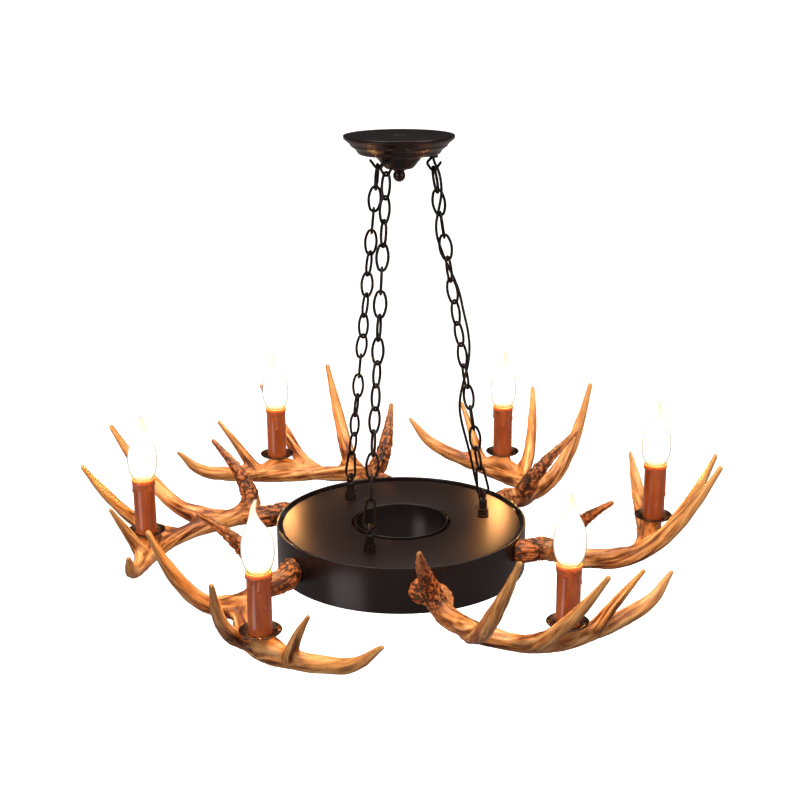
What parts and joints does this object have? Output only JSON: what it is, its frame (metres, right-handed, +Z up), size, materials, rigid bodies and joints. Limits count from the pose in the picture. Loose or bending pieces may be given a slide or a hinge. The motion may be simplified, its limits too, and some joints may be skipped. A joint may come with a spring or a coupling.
{
  "type": "antler chandelier",
  "caption": "Chain-hung chandelier: cast-resin antlers bolted round a flat metal ring drum, each carrying a drip tray, candle sleeve and flame-shaped bulb.",
  "frame": {"origin": "centre of the canopy's back plate, in the ceiling plane", "axes": "+Z up towards the ceiling, -Y towards the viewer of the picture, +X to the viewer's right; chains hang down along -Z"},
  "size_m": [0.7575, 0.7042, 0.5162],
  "materials": {
    "antler_resin": "rough satin, ridged",
    "tray_bronze": "satin",
    "candle_wax_tube": "glossy",
    "bulb_glass": "frosted, lit",
    "cap_metal": "satin",
    "holder_body": "matte",
    "plated_steel": "zinc plated",
    "nipple_black": "satin",
    "cable_sheath": "satin",
    "bush_rubber": "matte",
    "block_plastic": "matte",
    "canopy_bronze": "semi-gloss",
    "backplate_black": "satin",
    "chain_black": "satin",
    "ring_bronze": "satin"
  },
  "bodies": {
    "canopy": {"canopy_dish": "canopy_bronze", "canopy_backplate": "backplate_black", "canopy_nipple": "nipple_black", "canopy_nuts": "plated_steel", "chain_hooks": "chain_black", "canopy_bush": "bush_rubber"},
    "finial": {"finial_ball": "canopy_bronze"},
    "ring": {"outer_band": "ring_bronze", "top_plate": "ring_bronze", "bottom_plate": "ring_bronze", "inner_sleeve": "ring_bronze", "ring_spokes": "ring_bronze", "cover_screws": "plated_steel", "ring_eyes": "chain_black", "eye_nuts": "plated_steel", "ring_bush": "bush_rubber", "terminal_block": "block_plastic", "antler_bolts": "plated_steel", "lampholders": "holder_body", "lamp_nipples": "plated_steel", "antler_1": "antler_resin", "antler_2": "antler_resin", "antler_3": "antler_resin", "antler_4": "antler_resin", "antler_5": "antler_resin", "antler_6": "antler_resin", "drip_tray_1": "tray_bronze", "drip_tray_2": "tray_bronze", "drip_tray_3": "tray_bronze", "drip_tray_4": "tray_bronze", "drip_tray_5": "tray_bronze", "drip_tray_6": "tray_bronze", "candle_sleeve_1": "candle_wax_tube", "candle_sleeve_2": "candle_wax_tube", "candle_sleeve_3": "candle_wax_tube", "candle_sleeve_4": "candle_wax_tube", "candle_sleeve_5": "candle_wax_tube", "candle_sleeve_6": "candle_wax_tube"},
    "first_link_front": {"top_link_front": "chain_black"},
    "chain_run_front": {"chain_front": "chain_black"},
    "end_link_front": {"drop_link_front": "chain_black"},
    "first_link_back": {"top_link_back": "chain_black"},
    "chain_run_back": {"chain_back": "chain_black"},
    "end_link_back": {"drop_link_back": "chain_black"},
    "first_link_right": {"top_link_right": "chain_black"},
    "chain_run_right": {"chain_right": "chain_black", "supply_cable": "cable_sheath"},
    "end_link_right": {"drop_link_right": "chain_black"},
    "bulb_1": {"bulb_glass_1": "bulb_glass", "bulb_cap_1": "cap_metal"},
    "bulb_2": {"bulb_glass_2": "bulb_glass", "bulb_cap_2": "cap_metal"},
    "bulb_3": {"bulb_glass_3": "bulb_glass", "bulb_cap_3": "cap_metal"},
    "bulb_4": {"bulb_glass_4": "bulb_glass", "bulb_cap_4": "cap_metal"},
    "bulb_5": {"bulb_glass_5": "bulb_glass", "bulb_cap_5": "cap_metal"},
    "bulb_6": {"bulb_glass_6": "bulb_glass", "bulb_cap_6": "cap_metal"}
  },
  "joints": [
    {"name": "sway_fore_aft", "type": "hinge", "parent": "canopy", "child": "first_link_front", "pos_m": [-0.01416, -0.03688, -0.04], "axis": [1, 0, 0], "range_deg": [-3, 3]},
    {"name": "sway_side_to_side", "type": "hinge", "parent": "first_link_front", "child": "chain_run_front", "pos_m": [-0.01562, -0.04069, -0.06588], "axis": [0, 1, 0], "range_deg": [-3, 3]},
    {"name": "front_end_link_turn", "type": "hinge", "parent": "chain_run_front", "child": "end_link_front", "pos_m": [-0.03463, -0.09022, -0.40232], "axis": [0, 1, 0], "range_deg": [-1.5, 1.5]},
    {"name": "back_hook_turn", "type": "hinge", "parent": "canopy", "child": "first_link_back", "pos_m": [-0.02486, 0.0307, -0.04], "axis": [1, 0, 0], "range_deg": [-3, 3]},
    {"name": "back_chain_turn", "type": "hinge", "parent": "first_link_back", "child": "chain_run_back", "pos_m": [-0.02743, 0.03387, -0.06588], "axis": [0, 1, 0], "range_deg": [-3, 3]},
    {"name": "back_end_link_turn", "type": "hinge", "parent": "chain_run_back", "child": "end_link_back", "pos_m": [-0.06082, 0.0751, -0.40232], "axis": [0, 1, 0], "range_deg": [-1.5, 1.5]},
    {"name": "right_hook_turn", "type": "hinge", "parent": "canopy", "child": "first_link_right", "pos_m": [0.03901, 0.00618, -0.04], "axis": [1, 0, 0], "range_deg": [-3, 3]},
    {"name": "right_chain_turn", "type": "hinge", "parent": "first_link_right", "child": "chain_run_right", "pos_m": [0.04304, 0.00682, -0.06588], "axis": [0, 1, 0], "range_deg": [-3, 3]},
    {"name": "right_end_link_turn", "type": "hinge", "parent": "chain_run_right", "child": "end_link_right", "pos_m": [0.09545, 0.01512, -0.40232], "axis": [0, 1, 0], "range_deg": [-1.5, 1.5]},
    {"name": "ring_eye_turn", "type": "hinge", "parent": "end_link_front", "child": "ring", "pos_m": [-0.03619, -0.09429, -0.43], "axis": [1, 0, 0], "range_deg": [-1.5, 1.5]},
    {"name": "finial_unscrew", "type": "hinge", "parent": "canopy", "child": "finial", "pos_m": [0, 0, -0.0454], "axis": [0, 0, -1], "range_deg": [0, 1440]},
    {"name": "bulb_1_unscrew", "type": "hinge", "parent": "ring", "child": "bulb_1", "pos_m": [-0.30558, -0.01602, -0.3994], "axis": [0, 0, 1], "range_deg": [0, 1080]},
    {"name": "bulb_2_unscrew", "type": "hinge", "parent": "ring", "child": "bulb_2", "pos_m": [-0.17023, 0.25428, -0.396], "axis": [0, 0, 1], "range_deg": [0, 1080]},
    {"name": "bulb_3_unscrew", "type": "hinge", "parent": "ring", "child": "bulb_3", "pos_m": [-0.14601, -0.26892, -0.4095], "axis": [0, 0, 1], "range_deg": [0, 1080]},
    {"name": "bulb_4_unscrew", "type": "hinge", "parent": "ring", "child": "bulb_4", "pos_m": [0.1413, 0.27143, -0.4], "axis": [0, 0, 1], "range_deg": [0, 1080]},
    {"name": "bulb_5_unscrew", "type": "hinge", "parent": "ring", "child": "bulb_5", "pos_m": [0.30589, 0.00801, -0.393], "axis": [0, 0, 1], "range_deg": [0, 1080]},
    {"name": "bulb_6_unscrew", "type": "hinge", "parent": "ring", "child": "bulb_6", "pos_m": [0.17332, -0.25218, -0.4098], "axis": [0, 0, 1], "range_deg": [0, 1080]}
  ],
  "couplings": [
    {"joint": "front_end_link_turn", "follows": "sway_side_to_side", "ratio": -0.4524},
    {"joint": "back_hook_turn", "follows": "sway_fore_aft", "ratio": 1},
    {"joint": "back_chain_turn", "follows": "sway_side_to_side", "ratio": 1},
    {"joint": "back_end_link_turn", "follows": "sway_side_to_side", "ratio": -0.4524},
    {"joint": "right_hook_turn", "follows": "sway_fore_aft", "ratio": 1},
    {"joint": "right_chain_turn", "follows": "sway_side_to_side", "ratio": 1},
    {"joint": "right_end_link_turn", "follows": "sway_side_to_side", "ratio": -0.4524},
    {"joint": "ring_eye_turn", "follows": "sway_fore_aft", "ratio": -0.391}
  ]
}
